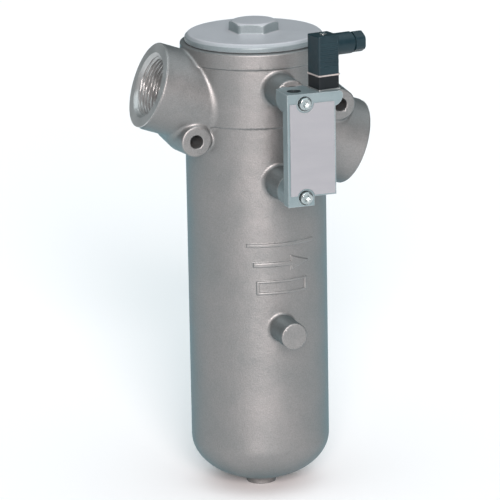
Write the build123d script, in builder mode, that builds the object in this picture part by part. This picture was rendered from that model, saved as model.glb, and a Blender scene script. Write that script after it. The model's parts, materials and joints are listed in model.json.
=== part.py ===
from build123d import *
import os
from math import atan, cos, degrees, pi, radians, sin

# Compressed air filter: a cast vessel with two slanted screwed ports, a screwed lid, a pleated
# element that hangs in the partition below the lid, and a differential pressure indicator.
# Millimetres, +Z up, origin at the mouth of the drain port, front towards -Y.

os.makedirs("parts", exist_ok=True)

# Vessel
BOWL_R = 47.9
WALL = 5.0
DOME_HEIGHT = 31.5
DOME_Z = 36.0
HEAD_R = 49.0
HEAD_Z = 263.6
COLLAR_R = 50.4
COLLAR_Z = 304.2
VESSEL_TOP = 314.7
DRAIN_BOSS_R = 10.3
DRAIN_BOSS_TOP = 14.0
DRAIN_R = 6.58
DRAIN_DEPTH = 12.0
DRAIN_FILLET = 2.5

# Partition between the upper and the lower chamber
PARTITION_TOP = 263.5
PARTITION_BOTTOM = 258.0
PARTITION_R = 33.0
CHAMBER_R = BOWL_R - WALL
LID_BORE_R = 44.0
LID_BORE_Z = 298.0

# Ports: one axis through the vessel, raised at the inlet and lowered at the outlet
PORT_Z = 262.5
PORT_SLANT = 20.0
PORT_R = 29.8
INLET_REACH = 81.2
OUTLET_REACH = 73.9
THREAD_R = 20.955
THREAD_LENGTH = 18.0
MOUTH_R = 22.6
PASSAGE_R = 15.2
INLET_PASSAGE_Z = 282.5
OUTLET_PASSAGE_Z = 241.6
INLET_PASSAGE_X = -66.0
OUTLET_PASSAGE_X = 58.0
PASSAGE_END_X = 38.0
PORT_FILLET = 2.5

# Mounting lugs, wider at the middle than at their ends
LUG_X = 52.0
LUG_OFFSET = 8.0
LUG_END_R = 10.5
LUG_MIDDLE_R = 12.4
LUG_HALF = 28.0
LUG_DRAFT = degrees(atan((LUG_MIDDLE_R - LUG_END_R) / LUG_HALF))
LUG_HOLE_R = 4.5

# Indicator bosses and blank boss on the front
BOSS_FACE_Y = -71.5
BOSS_R = 10.8
BOSS_ROOT_R = 11.2
BOSS_ROOT_Y = -41.5
BOSS_FILLET = 2.5
UPPER_Z = 290.4
LOWER_Z = 226.6
BLANK_BOSS_Z = 123.8
BLANK_BOSS_R = 9.2
BLANK_FILLET = 2.0
BOSS_TAP_R = 2.55
BOSS_TAP_DEPTH = 13.0
PRESSURE_HOLE_R = 1.3

# Raised marks on the bowl
MARK_X = 1.0
MARK_HEIGHT = 0.9
BAR_Z = 182.6
BAR_WIDTH = 48.0
BAR_HEIGHT = 2.2
ARROW_Z = 169.0
ARROW = ((-20, -1.5), (6, -1.5), (6, -5), (20, 0), (6, 5), (6, 1.5), (-20, 1.5))
FRAME_Z = 152.9
FRAME_WIDTH = 36.5
FRAME_HEIGHT = 9.5
FRAME_LINE = 1.5

# Lid
LID_R = 47.1
LID_GAP = 0.7
LID_SEAT_R = 45.8
LID_BEVEL = 1.6
LID_RIM_Z = 318.6
LID_ROOT_Z = 321.5
LID_TOP = 328.6
RIM_CHAMFER = 0.6
CROWN_SLOPE = 0.6
LID_HEX_ACROSS = 30.0
LID_HEX_TURN = 26.0
LID_HEX_CROWN_R = 15.6
LID_HEX_ROOT = 2.0
LID_SPIGOT_R = 43.7
LID_SPIGOT_Z = 299.5
LID_RECESS_R = 37.0
LID_RECESS = 3.0
LID_GROOVE_R = 41.0
LID_GROOVE_Z = 304.5
LID_GROOVE_HEIGHT = 3.2
LID_RING_R = 42.45
LID_RING_SECTION = 2.4

# Filter element
CAP_FLANGE_R = 38.0
CAP_FLANGE_TOP = 267.5
CAP_SKIRT_R = 32.7
CAP_SKIRT_Z = 250.0
CAP_OPENING_R = 19.0
ELEMENT_BOTTOM = 58.0
BOTTOM_CAP_TOP = 62.0
BOTTOM_SKIRT_TOP = 74.0
INNER_CORE_R = 21.3
CORE_WALL = 0.8
INNER_CORE_COLUMNS = 3
OUTER_CORE_COLUMNS = 4
MEDIA_ROOT_R = 22.2
MEDIA_TIP_R = 28.2
MEDIA_WALL = 1.0
PLEATS = 36
OUTER_CORE_R = 29.4
SOCK_R = 31.4
SOCK_WALL = 1.9
CORE_HOLE_R = 3.0
CORE_ROWS = 10
CORE_ROW_PITCH = 18.0
CORE_MIDDLE_Z = 160.0
STACK_TOP = 263.5
CAP_WALL = 1.0
SEAL_PLAY = 0.2
SEAL_R = 35.3
SEAL_SECTION = 2.4

# Retainer cage between lid and element
RETAINER_TOP = LID_SPIGOT_Z + LID_RECESS
RETAINER_R = 35.0
RETAINER_INNER_R = 29.0
RETAINER_RING = 3.0
RETAINER_POST_R = 2.6
RETAINER_POSTS = 4

# Indicator block
BLOCK_LEFT = -12.3
BLOCK_RIGHT = 21.6
BLOCK_HEAD_RIGHT = 27.0
BLOCK_FRONT = -96.6
PLATE_BACK = -88.0
BLOCK_BACK = -75.5
BLOCK_TOP = 297.0
BLOCK_BOTTOM = 227.2
HEAD_BOTTOM = 287.0
BODY_LEFT = -2.0
BODY_RIGHT = 24.0
TONGUE_BOTTOM = 220.8
TONGUE_RIGHT = 6.0
PAD_R = 10.6
EAR_R = 12.3
BLOCK_TOP_CORNER = 2.5
BLOCK_LOWER_CORNER = 7.2
SCREW_CLEARANCE_R = 3.0
SCREW_RECESS_R = 5.0
SCREW_RECESS = 2.6
TEST_PORT_X = -3.5
TEST_PORT_Y = -86.0
TEST_PORT_R = 4.86
TEST_PORT_DEPTH = 3.6
RING_GROOVE_DEPTH = 1.4
RING_GROOVE_IN = 5.0
RING_GROOVE_OUT = 7.4

# Indicator piston and its bore, side by side with the reed switch
PISTON_X = 11.5
PISTON_Y = -84.0
PISTON_BORE_R = 4.5
PISTON_R = 4.44
PISTON_BORE_TOP = 276.0
PISTON_LENGTH = 14.0
PISTON_RELIEF = 1.0
END_PLUG_R = 4.4
END_PLUG_TOP = 237.0
END_PLUG_GROOVE_Z = 233.0
END_PLUG_GROOVE_R = 3.1
END_PLUG_GROOVE_HEIGHT = 1.4
END_PLUG_RING_R = 3.75
END_PLUG_RING_SECTION = 1.2
END_PLUG_KEY = 3.0
CHANNEL_R = 1.2
MAGNET_R = 2.6
MAGNET_LENGTH = 5.0
SPRING_R = 3.0
SPRING_WIRE_R = 0.35
SPRING_TURNS = 8
SPRING_LENGTH = PISTON_BORE_TOP - PISTON_LENGTH - END_PLUG_TOP - 2 * SPRING_WIRE_R
REED_X = 19.8
REED_R = 1.1
REED_BORE_R = 1.6
REED_BORE_BOTTOM = 262.0
REED_GLASS_BOTTOM = 266.0
REED_GLASS_TOP = 280.0
REED_LEAD_R = 0.3
REED_LEAD_TOP = 291.0
REED_LEAD_BOTTOM = 263.0

# Label and screws
LABEL_LEFT = -10.6
LABEL_RIGHT = 20.6
LABEL_THICKNESS = 0.7
LABEL_TOP = 290.4
LABEL_BOTTOM = 228.3
LABEL_NOTCH_R = 6.3
SCREW_HEAD_R = 4.2
SCREW_HEAD_HEIGHT = 5.0
SCREW_SHANK_R = 2.5
SCREW_TIP_Y = -60.0
SCREW_BORE_R = 0.9
SCREW_CROSS_HOLE_Y = -84.0
SCREW_KEY = 4.0
SCREW_KEY_DEPTH = 2.5

# Appliance connector, turned a little about its own vertical axis
CONNECTOR_X = 17.9
CONNECTOR_Y = -85.0
CONNECTOR_TURN = 8.9
FLANGE_SIDE = 16.6
FLANGE_THICKNESS = 0.9
BASE_SIDE = 15.2
BASE_TOP = 306.5
STEM_R = 3.9
STEM_DEPTH = 6.0
STEM_PLAY = 0.05
SEAL_SIDE = 16.2
SEAL_THICKNESS = 1.0
PLUG_SIDE = 15.5
PLUG_TOP = 333.4
PLUG_WALL = 1.4
PLUG_CEILING = 3.0
PLUG_CORNER = 1.2
PLUG_EDGE = 0.7
GROOVE_BOTTOM = 312.8
GROOVE_PITCH = 2.6
GROOVE_COUNT = 7
GROOVE_HEIGHT = 0.8
GROOVE_DEPTH = 0.35
BASE_CORNER = 0.7
CONTACT_RADIUS = 4.0
BLADE_WIDTH = 2.8
BLADE_THICKNESS = 0.5
BLADE_TOP = 314.3
BLADE_BOTTOM = 301.8
FIT = 0.3
LEAD_CAVITY_R = 2.2
LEAD_CAVITY_TOP = 300.3
INSERT_SIDE = 12.4
INSERT_BOTTOM = 308.0
INSERT_TOP = 319.8
CLAMP_WIDTH = 4.2
CLAMP_THICKNESS = 2.0
CLAMP_TOP = 316.8
CENTRE_SCREW_R = 1.25
CENTRE_SCREW_TIP = 302.4
CENTRE_SCREW_HEAD_R = 2.3
CENTRE_SCREW_HEAD = 1.8
CENTRE_SCREW_TOP = 333.9
SCREW_SLOT = 0.7
GLAND_Z = 325.6
GLAND_BARREL_R = 7.3
GLAND_BARREL_END = 20.1
GLAND_NECK_R = 5.7
GLAND_NECK_END = 25.1
GLAND_BORE_R = 4.6
GLAND_SEAT = 16.6
NUT_START = 21.9
NUT_END = 28.9
NUT_ACROSS = 12.9
NUT_TURN = 30.0
NUT_MOUTH_R = 3.6
GROMMET_R = 4.5
WASHER_R = 5.2
WASHER_THICKNESS = 0.8
NUT_BORE_R = 5.9
NUT_BORE_END = 26.2
NUT_CROWN_R = 6.9
CABLE_BORE_R = 2.6

INLET_PLANE = Plane(
    origin=(0, 0, PORT_Z),
    x_dir=(0, 1, 0),
    z_dir=(-cos(radians(PORT_SLANT)), 0, sin(radians(PORT_SLANT))),
)
OUTLET_PLANE = Plane(
    origin=(0, 0, PORT_Z),
    x_dir=(0, 1, 0),
    z_dir=(cos(radians(PORT_SLANT)), 0, -sin(radians(PORT_SLANT))),
)
PORTS = ((INLET_PLANE, INLET_REACH), (OUTLET_PLANE, OUTLET_REACH))
LUGS = ((-LUG_X, PORT_Z - LUG_OFFSET), (LUG_X, PORT_Z + LUG_OFFSET))
SCREWS = ((0, UPPER_Z), (0, LOWER_Z))
CHANNELS = (
    ((0, PISTON_Y, UPPER_Z), (PISTON_X, PISTON_Y, PISTON_BORE_TOP - 1)),
    ((0, PISTON_Y, LOWER_Z), (PISTON_X - 2, PISTON_Y, END_PLUG_TOP + 4)),
)
CONTACTS = PolarLocations(CONTACT_RADIUS, 4)


def front_plane(y):
    """Plane across the Y axis whose normal points to the front; local x is X, local y is Z."""
    return Plane(origin=(0, y, 0), x_dir=(1, 0, 0), z_dir=(0, -1, 0))


def connector_plane(z):
    """Horizontal plane at height z, centred on the connector and turned with it."""
    turn = radians(CONNECTOR_TURN)
    return Plane(
        origin=(CONNECTOR_X, CONNECTOR_Y, z),
        x_dir=(cos(turn), sin(turn), 0),
        z_dir=(0, 0, 1),
    )


def gland_plane(reach):
    """Plane across the cable gland's axis, at a distance from the connector's centre."""
    turn = radians(CONNECTOR_TURN)
    return Plane(
        origin=(CONNECTOR_X + reach * cos(turn), CONNECTOR_Y + reach * sin(turn), GLAND_Z),
        x_dir=(-sin(turn), cos(turn), 0),
        z_dir=(cos(turn), sin(turn), 0),
    )


def star(tip_radius, root_radius):
    """Corner points of the pleats' zigzag, one tip and one root for each pleat."""
    points = []
    for step in range(2 * PLEATS):
        radius = root_radius if step % 2 else tip_radius
        angle = pi * step / PLEATS
        points.append((radius * cos(angle), radius * sin(angle)))
    return points


# Raised marks: a bar, a flow arrow and an empty frame, wrapped round the bowl
with BuildPart() as marks:
    with BuildSketch(front_plane(-BOWL_R - 10)):
        with Locations((MARK_X, BAR_Z)):
            Rectangle(BAR_WIDTH, BAR_HEIGHT)
        with Locations((MARK_X, ARROW_Z)):
            Polygon(*ARROW, align=None)
        with Locations((MARK_X, FRAME_Z)):
            Rectangle(FRAME_WIDTH, FRAME_HEIGHT)
            Rectangle(FRAME_WIDTH - 2 * FRAME_LINE, FRAME_HEIGHT - 2 * FRAME_LINE, mode=Mode.SUBTRACT)
    extrude(amount=-BOWL_R)
    with BuildSketch(Plane.XY.offset(FRAME_Z - FRAME_HEIGHT)):
        Circle(BOWL_R + MARK_HEIGHT)
        Circle(BOWL_R - MARK_HEIGHT, mode=Mode.SUBTRACT)
    extrude(amount=BAR_Z - FRAME_Z + 2 * FRAME_HEIGHT, mode=Mode.INTERSECT)

# Housing: the outer casting first, then its chambers, passages and holes
with BuildPart() as housing:
    with BuildSketch(Plane.XZ):
        with BuildLine():
            Polyline((0, DOME_Z - DOME_HEIGHT), (0, VESSEL_TOP), (BOWL_R, VESSEL_TOP), (BOWL_R, DOME_Z))
            EllipticalCenterArc((0, DOME_Z), BOWL_R, DOME_HEIGHT, start_angle=270, arc_size=90)
        make_face()
    revolve(axis=Axis.Z)
    for port_plane, reach in PORTS:
        with BuildSketch(port_plane):
            Circle(PORT_R)
        extrude(amount=reach)
        fillet(housing.edges(Select.NEW), radius=PORT_FILLET)
    for screw in SCREWS:
        with BuildSketch(front_plane(BOSS_FACE_Y)):
            with Locations(screw):
                Circle(BOSS_R)
        with BuildSketch(front_plane(BOSS_ROOT_Y)):
            with Locations(screw):
                Circle(BOSS_ROOT_R)
        loft()
        fillet(housing.edges(Select.NEW), radius=BOSS_FILLET)
    with BuildSketch(front_plane(BOSS_FACE_Y)):
        with Locations((0, BLANK_BOSS_Z)):
            Circle(BLANK_BOSS_R)
    extrude(amount=BOSS_FACE_Y - BOSS_ROOT_Y)
    fillet(housing.edges(Select.NEW), radius=BLANK_FILLET)
    with BuildSketch(Plane.XY):
        Circle(DRAIN_BOSS_R)
    extrude(amount=DRAIN_BOSS_TOP)
    fillet(housing.edges(Select.NEW), radius=DRAIN_FILLET)
    with BuildSketch(Plane.XZ):
        with Locations(*LUGS):
            Circle(LUG_MIDDLE_R)
    extrude(amount=LUG_HALF, both=True, taper=LUG_DRAFT)
    with BuildSketch(Plane.XY.offset(HEAD_Z)):
        Circle(HEAD_R)
    extrude(amount=COLLAR_Z - HEAD_Z)
    with BuildSketch(Plane.XY.offset(COLLAR_Z)):
        Circle(COLLAR_R)
    extrude(amount=VESSEL_TOP - COLLAR_Z)
    add(marks.part)
    # Lower chamber, partition hole, upper chamber and the bore that takes the lid
    with BuildSketch(Plane.XZ):
        with BuildLine():
            Polyline(
                (0, DOME_Z - DOME_HEIGHT + WALL),
                (0, VESSEL_TOP),
                (LID_BORE_R, VESSEL_TOP),
                (LID_BORE_R, LID_BORE_Z),
                (CHAMBER_R, LID_BORE_Z),
                (CHAMBER_R, PARTITION_TOP),
                (PARTITION_R, PARTITION_TOP),
                (PARTITION_R, PARTITION_BOTTOM),
                (CHAMBER_R, PARTITION_BOTTOM),
                (CHAMBER_R, DOME_Z),
            )
            EllipticalCenterArc(
                (0, DOME_Z), CHAMBER_R, DOME_HEIGHT - WALL, start_angle=270, arc_size=90
            )
        make_face()
    revolve(axis=Axis.Z, mode=Mode.SUBTRACT)
    # Threaded ports and the passages behind them
    for port_plane, reach in PORTS:
        with BuildSketch(port_plane.offset(reach - THREAD_LENGTH)):
            Circle(THREAD_R)
        extrude(amount=THREAD_LENGTH, mode=Mode.SUBTRACT)
        with BuildSketch(port_plane.offset(reach)):
            Circle(MOUTH_R)
        extrude(amount=THREAD_R - MOUTH_R, taper=45, mode=Mode.SUBTRACT)
    with BuildSketch(Plane.YZ.offset(INLET_PASSAGE_X)):
        with Locations((0, INLET_PASSAGE_Z)):
            Circle(PASSAGE_R)
    extrude(amount=-INLET_PASSAGE_X - PASSAGE_END_X, mode=Mode.SUBTRACT)
    with BuildSketch(Plane.YZ.offset(PASSAGE_END_X)):
        with Locations((0, OUTLET_PASSAGE_Z)):
            Circle(PASSAGE_R)
    extrude(amount=OUTLET_PASSAGE_X - PASSAGE_END_X, mode=Mode.SUBTRACT)
    # Lug holes, indicator taps with their pressure holes, and the drain
    with BuildSketch(Plane.XZ):
        with Locations(*LUGS):
            Circle(LUG_HOLE_R)
    extrude(amount=LUG_HALF + 1, both=True, mode=Mode.SUBTRACT)
    with BuildSketch(front_plane(BOSS_FACE_Y)):
        with Locations(*SCREWS):
            Circle(BOSS_TAP_R)
    extrude(amount=-BOSS_TAP_DEPTH, mode=Mode.SUBTRACT)
    with BuildSketch(front_plane(BOSS_FACE_Y)):
        with Locations(*SCREWS):
            Circle(PRESSURE_HOLE_R)
    extrude(amount=BOSS_FACE_Y + CHAMBER_R - WALL, mode=Mode.SUBTRACT)
    with BuildSketch(Plane.XY):
        Circle(DRAIN_R)
    extrude(amount=DRAIN_DEPTH, mode=Mode.SUBTRACT)
    rim = housing.edges().filter_by(GeomType.CIRCLE).filter_by_position(Axis.Z, VESSEL_TOP, VESSEL_TOP)
    chamfer(rim, length=RIM_CHAMFER)
housing.part.label = "housing"
export_step(housing.part, "parts/housing.step")

# Lid: turned cover with a spigot, a seal groove and a hexagon with a rounded crown
with BuildPart() as hexagon:
    with BuildSketch(Plane.XY.offset(LID_ROOT_Z - LID_HEX_ROOT)):
        RegularPolygon(LID_HEX_ACROSS / 2, 6, major_radius=False, rotation=-LID_HEX_TURN - 90)
    extrude(amount=LID_TOP - LID_ROOT_Z + LID_HEX_ROOT)
    with BuildSketch(Plane.XZ):
        Polygon(
            (0, 0),
            (LID_HEX_ACROSS, 0),
            (LID_HEX_ACROSS, LID_TOP - (LID_HEX_ACROSS - LID_HEX_CROWN_R) * CROWN_SLOPE),
            (LID_HEX_CROWN_R, LID_TOP),
            (0, LID_TOP),
            align=None,
        )
    revolve(axis=Axis.Z, mode=Mode.INTERSECT)

with BuildPart() as lid:
    with BuildSketch(Plane.XZ):
        Polygon(
            (0, LID_SPIGOT_Z + LID_RECESS),
            (LID_RECESS_R, LID_SPIGOT_Z + LID_RECESS),
            (LID_RECESS_R, LID_SPIGOT_Z),
            (LID_SPIGOT_R - RIM_CHAMFER, LID_SPIGOT_Z),
            (LID_SPIGOT_R, LID_SPIGOT_Z + RIM_CHAMFER),
            (LID_SPIGOT_R, LID_GROOVE_Z),
            (LID_GROOVE_R, LID_GROOVE_Z),
            (LID_GROOVE_R, LID_GROOVE_Z + LID_GROOVE_HEIGHT),
            (LID_SPIGOT_R, LID_GROOVE_Z + LID_GROOVE_HEIGHT),
            (LID_SPIGOT_R, VESSEL_TOP),
            (LID_SEAT_R, VESSEL_TOP),
            (LID_SEAT_R, VESSEL_TOP + LID_GAP),
            (LID_R, VESSEL_TOP + LID_GAP),
            (LID_R, LID_RIM_Z - LID_BEVEL),
            (LID_R - LID_BEVEL, LID_RIM_Z),
            (LID_HEX_ACROSS / 2, LID_ROOT_Z),
            (0, LID_ROOT_Z),
            align=None,
        )
    revolve(axis=Axis.Z)
    add(hexagon.part)
lid.part.label = "lid"
export_step(lid.part, "parts/lid.step")

with BuildPart() as lid_o_ring:
    with BuildSketch(Plane.XZ):
        with Locations((LID_RING_R, LID_GROOVE_Z + LID_GROOVE_HEIGHT / 2)):
            Circle(LID_RING_SECTION / 2)
    revolve(axis=Axis.Z)
lid_o_ring.part.label = "lid_o_ring"
export_step(lid_o_ring.part, "parts/lid_o_ring.step")

# Retainer: a cage whose two rings and posts hold the element down from the lid
with BuildPart() as retainer_rings:
    for bottom in (CAP_FLANGE_TOP, RETAINER_TOP - RETAINER_RING):
        with BuildSketch(Plane.XY.offset(bottom)):
            Circle(RETAINER_R)
            Circle(RETAINER_INNER_R, mode=Mode.SUBTRACT)
        extrude(amount=RETAINER_RING)
retainer_rings.part.label = "retainer_rings"
export_step(retainer_rings.part, "parts/retainer_rings.step")

with BuildPart() as retainer_posts:
    with BuildSketch(Plane.XY.offset(CAP_FLANGE_TOP + RETAINER_RING)):
        with PolarLocations((RETAINER_R + RETAINER_INNER_R) / 2, RETAINER_POSTS, start_angle=45):
            Circle(RETAINER_POST_R)
    extrude(amount=RETAINER_TOP - CAP_FLANGE_TOP - 2 * RETAINER_RING)
retainer_posts.part.label = "retainer_posts"
export_step(retainer_posts.part, "parts/retainer_posts.step")

# Element: end caps, perforated tubes, pleated medium and drainage sock
with BuildPart() as element_top_cap:
    with BuildSketch(Plane.XZ):
        Polygon(
            (CAP_OPENING_R, CAP_FLANGE_TOP),
            (CAP_FLANGE_R, CAP_FLANGE_TOP),
            (CAP_FLANGE_R, PARTITION_TOP),
            (SEAL_R + SEAL_SECTION / 2 + SEAL_PLAY, PARTITION_TOP),
            (SEAL_R + SEAL_SECTION / 2 + SEAL_PLAY, PARTITION_TOP + SEAL_SECTION),
            (SEAL_R - SEAL_SECTION / 2 - SEAL_PLAY, PARTITION_TOP + SEAL_SECTION),
            (SEAL_R - SEAL_SECTION / 2 - SEAL_PLAY, PARTITION_TOP),
            (CAP_SKIRT_R, PARTITION_TOP),
            (CAP_SKIRT_R, CAP_SKIRT_Z),
            (CAP_SKIRT_R - CAP_WALL, CAP_SKIRT_Z),
            (CAP_SKIRT_R - CAP_WALL, STACK_TOP),
            (CAP_OPENING_R, STACK_TOP),
            align=None,
        )
    revolve(axis=Axis.Z)
element_top_cap.part.label = "element_top_cap"
export_step(element_top_cap.part, "parts/element_top_cap.step")

with BuildPart() as element_o_ring:
    with BuildSketch(Plane.XZ):
        with Locations((SEAL_R, PARTITION_TOP + SEAL_SECTION / 2)):
            Circle(SEAL_SECTION / 2)
    revolve(axis=Axis.Z)
element_o_ring.part.label = "element_o_ring"
export_step(element_o_ring.part, "parts/element_o_ring.step")

with BuildPart() as element_bottom_cap:
    with BuildSketch(Plane.XY.offset(ELEMENT_BOTTOM)):
        Circle(CAP_SKIRT_R)
    extrude(amount=BOTTOM_SKIRT_TOP - ELEMENT_BOTTOM)
    with BuildSketch(Plane.XY.offset(BOTTOM_CAP_TOP)):
        Circle(CAP_SKIRT_R - CAP_WALL)
    extrude(amount=BOTTOM_SKIRT_TOP - BOTTOM_CAP_TOP, mode=Mode.SUBTRACT)
element_bottom_cap.part.label = "element_bottom_cap"
export_step(element_bottom_cap.part, "parts/element_bottom_cap.step")

with BuildPart() as element_inner_core:
    with BuildSketch(Plane.XY.offset(BOTTOM_CAP_TOP)):
        Circle(INNER_CORE_R)
        Circle(INNER_CORE_R - CORE_WALL, mode=Mode.SUBTRACT)
    extrude(amount=STACK_TOP - BOTTOM_CAP_TOP)
    for turn in range(INNER_CORE_COLUMNS):
        with BuildSketch(Plane.XZ.rotated((0, 0, 180 * turn / INNER_CORE_COLUMNS))):
            with Locations((0, CORE_MIDDLE_Z)):
                with GridLocations(CORE_ROW_PITCH, CORE_ROW_PITCH, 1, CORE_ROWS):
                    Circle(CORE_HOLE_R)
        extrude(amount=INNER_CORE_R + 1, both=True, mode=Mode.SUBTRACT)
element_inner_core.part.label = "element_inner_core"
export_step(element_inner_core.part, "parts/element_inner_core.step")

with BuildPart() as element_media:
    with BuildSketch(Plane.XY.offset(BOTTOM_CAP_TOP)):
        Polygon(*star(MEDIA_TIP_R, MEDIA_ROOT_R + MEDIA_WALL), align=None)
        Polygon(*star(MEDIA_TIP_R - MEDIA_WALL, MEDIA_ROOT_R), align=None, mode=Mode.SUBTRACT)
    extrude(amount=STACK_TOP - BOTTOM_CAP_TOP)
element_media.part.label = "element_media"
export_step(element_media.part, "parts/element_media.step")

with BuildPart() as element_outer_core:
    with BuildSketch(Plane.XY.offset(BOTTOM_CAP_TOP)):
        Circle(OUTER_CORE_R)
        Circle(OUTER_CORE_R - CORE_WALL, mode=Mode.SUBTRACT)
    extrude(amount=STACK_TOP - BOTTOM_CAP_TOP)
    for turn in range(OUTER_CORE_COLUMNS):
        with BuildSketch(Plane.XZ.rotated((0, 0, 180 * turn / OUTER_CORE_COLUMNS))):
            with Locations((0, CORE_MIDDLE_Z)):
                with GridLocations(CORE_ROW_PITCH, CORE_ROW_PITCH, 1, CORE_ROWS):
                    Circle(CORE_HOLE_R)
        extrude(amount=OUTER_CORE_R + 1, both=True, mode=Mode.SUBTRACT)
element_outer_core.part.label = "element_outer_core"
export_step(element_outer_core.part, "parts/element_outer_core.step")

with BuildPart() as element_sock:
    with BuildSketch(Plane.XY.offset(BOTTOM_CAP_TOP)):
        Circle(SOCK_R)
        Circle(SOCK_R - SOCK_WALL, mode=Mode.SUBTRACT)
    extrude(amount=STACK_TOP - BOTTOM_CAP_TOP)
element_sock.part.label = "element_sock"
export_step(element_sock.part, "parts/element_sock.step")

# Indicator block: face plate, head, body behind the plate, tongue and two pads
with BuildPart() as indicator_block:
    with BuildSketch(front_plane(BLOCK_FRONT)):
        with Locations((BLOCK_LEFT, BLOCK_BOTTOM)):
            Rectangle(BLOCK_RIGHT - BLOCK_LEFT, BLOCK_TOP - BLOCK_BOTTOM, align=Align.MIN)
        with Locations((BLOCK_LEFT, TONGUE_BOTTOM)):
            Rectangle(TONGUE_RIGHT - BLOCK_LEFT, BLOCK_TOP - TONGUE_BOTTOM, align=Align.MIN)
    extrude(amount=BLOCK_FRONT - PLATE_BACK)
    with BuildSketch(front_plane(BLOCK_FRONT)):
        with Locations((0, HEAD_BOTTOM)):
            Rectangle(BLOCK_HEAD_RIGHT, BLOCK_TOP - HEAD_BOTTOM, align=Align.MIN)
        fillet(vertices().group_by(Axis.X)[-1].sort_by(Axis.Y)[0], radius=BLOCK_LOWER_CORNER)
        fillet(vertices().sort_by(Axis.Y)[-2:].sort_by(Axis.X)[-1], radius=BLOCK_TOP_CORNER)
        with Locations((BLOCK_LEFT, UPPER_Z)):
            Rectangle(-BLOCK_LEFT, BLOCK_TOP - UPPER_Z, align=Align.MIN)
    extrude(amount=BLOCK_FRONT - BLOCK_BACK)
    with BuildSketch(front_plane(PLATE_BACK)):
        with Locations((BODY_LEFT, BLOCK_BOTTOM)):
            Rectangle(BODY_RIGHT - BODY_LEFT, HEAD_BOTTOM - BLOCK_BOTTOM, align=Align.MIN)
    extrude(amount=PLATE_BACK - BLOCK_BACK)
    with BuildSketch(front_plane(PLATE_BACK)):
        with Locations((BLOCK_LEFT, UPPER_Z - EAR_R)):
            Rectangle(2 * EAR_R, BLOCK_TOP - UPPER_Z + EAR_R, align=Align.MIN)
        with Locations(SCREWS[0]):
            Circle(EAR_R, mode=Mode.INTERSECT)
        with Locations(SCREWS[1]):
            Circle(EAR_R)
        with Locations((-EAR_R, TONGUE_BOTTOM)):
            Rectangle(2 * EAR_R, EAR_R, align=(Align.MIN, Align.MAX), mode=Mode.SUBTRACT)
        with Locations((TONGUE_RIGHT, BLOCK_BOTTOM)):
            Rectangle(EAR_R, EAR_R, align=(Align.MIN, Align.MAX), mode=Mode.SUBTRACT)
    extrude(amount=PLATE_BACK - BLOCK_BACK)
    with BuildSketch(front_plane(BLOCK_BACK)):
        with Locations((-PAD_R, UPPER_Z - PAD_R)):
            Rectangle(2 * PAD_R, BLOCK_TOP - UPPER_Z + PAD_R, align=Align.MIN)
        with Locations(SCREWS[0]):
            Circle(PAD_R, mode=Mode.INTERSECT)
        with Locations(SCREWS[1]):
            Circle(PAD_R)
    extrude(amount=BLOCK_BACK - BOSS_FACE_Y)
    # Screw holes with recesses, and the seal grooves round them
    with BuildSketch(front_plane(BLOCK_FRONT)):
        with Locations(*SCREWS):
            Circle(SCREW_CLEARANCE_R)
    extrude(amount=BLOCK_FRONT - BOSS_FACE_Y, mode=Mode.SUBTRACT)
    with BuildSketch(front_plane(BLOCK_FRONT)):
        with Locations(*SCREWS):
            Circle(SCREW_RECESS_R)
    extrude(amount=-SCREW_RECESS, mode=Mode.SUBTRACT)
    with BuildSketch(front_plane(BOSS_FACE_Y)):
        with Locations(*SCREWS):
            Circle(RING_GROOVE_OUT)
            Circle(RING_GROOVE_IN, mode=Mode.SUBTRACT)
    extrude(amount=RING_GROOVE_DEPTH, mode=Mode.SUBTRACT)
    # Test port, connector stem hole and reed switch bore, all from the top
    with BuildSketch(Plane.XY.offset(BLOCK_TOP)):
        with Locations((TEST_PORT_X, TEST_PORT_Y)):
            Circle(TEST_PORT_R)
    extrude(amount=-TEST_PORT_DEPTH, mode=Mode.SUBTRACT)
    with BuildSketch(Plane.XY.offset(BLOCK_TOP)):
        with Locations((0, TEST_PORT_Y)):
            Circle(CHANNEL_R)
    extrude(amount=UPPER_Z - BLOCK_TOP, mode=Mode.SUBTRACT)
    with BuildSketch(Plane.XY.offset(BLOCK_TOP)):
        with Locations((CONNECTOR_X, CONNECTOR_Y)):
            Circle(STEM_R)
    extrude(amount=-STEM_DEPTH, mode=Mode.SUBTRACT)
    with BuildSketch(Plane.XY.offset(REED_BORE_BOTTOM)):
        with Locations((REED_X, CONNECTOR_Y)):
            Circle(REED_BORE_R)
    extrude(amount=BLOCK_TOP - REED_BORE_BOTTOM - STEM_DEPTH, mode=Mode.SUBTRACT)
    # Piston bore from below, joined to each screw hole by a slanted channel
    with BuildSketch(Plane.XY.offset(BLOCK_BOTTOM)):
        with Locations((PISTON_X, PISTON_Y)):
            Circle(PISTON_BORE_R)
    extrude(amount=PISTON_BORE_TOP - BLOCK_BOTTOM, mode=Mode.SUBTRACT)
    for start, end in CHANNELS:
        run = Vector(*end) - Vector(*start)
        with BuildSketch(Plane(origin=start, z_dir=run)):
            Circle(CHANNEL_R)
        extrude(amount=run.length, mode=Mode.SUBTRACT)
indicator_block.part.label = "indicator_block"
export_step(indicator_block.part, "parts/indicator_block.step")

with BuildPart() as label_plate:
    with BuildSketch(front_plane(BLOCK_FRONT)):
        with Locations((LABEL_LEFT, LABEL_BOTTOM)):
            Rectangle(LABEL_RIGHT - LABEL_LEFT, LABEL_TOP - LABEL_BOTTOM, align=Align.MIN)
        with Locations(*SCREWS):
            Circle(LABEL_NOTCH_R, mode=Mode.SUBTRACT)
    extrude(amount=LABEL_THICKNESS)
label_plate.part.label = "label_plate"
export_step(label_plate.part, "parts/label_plate.step")

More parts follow.
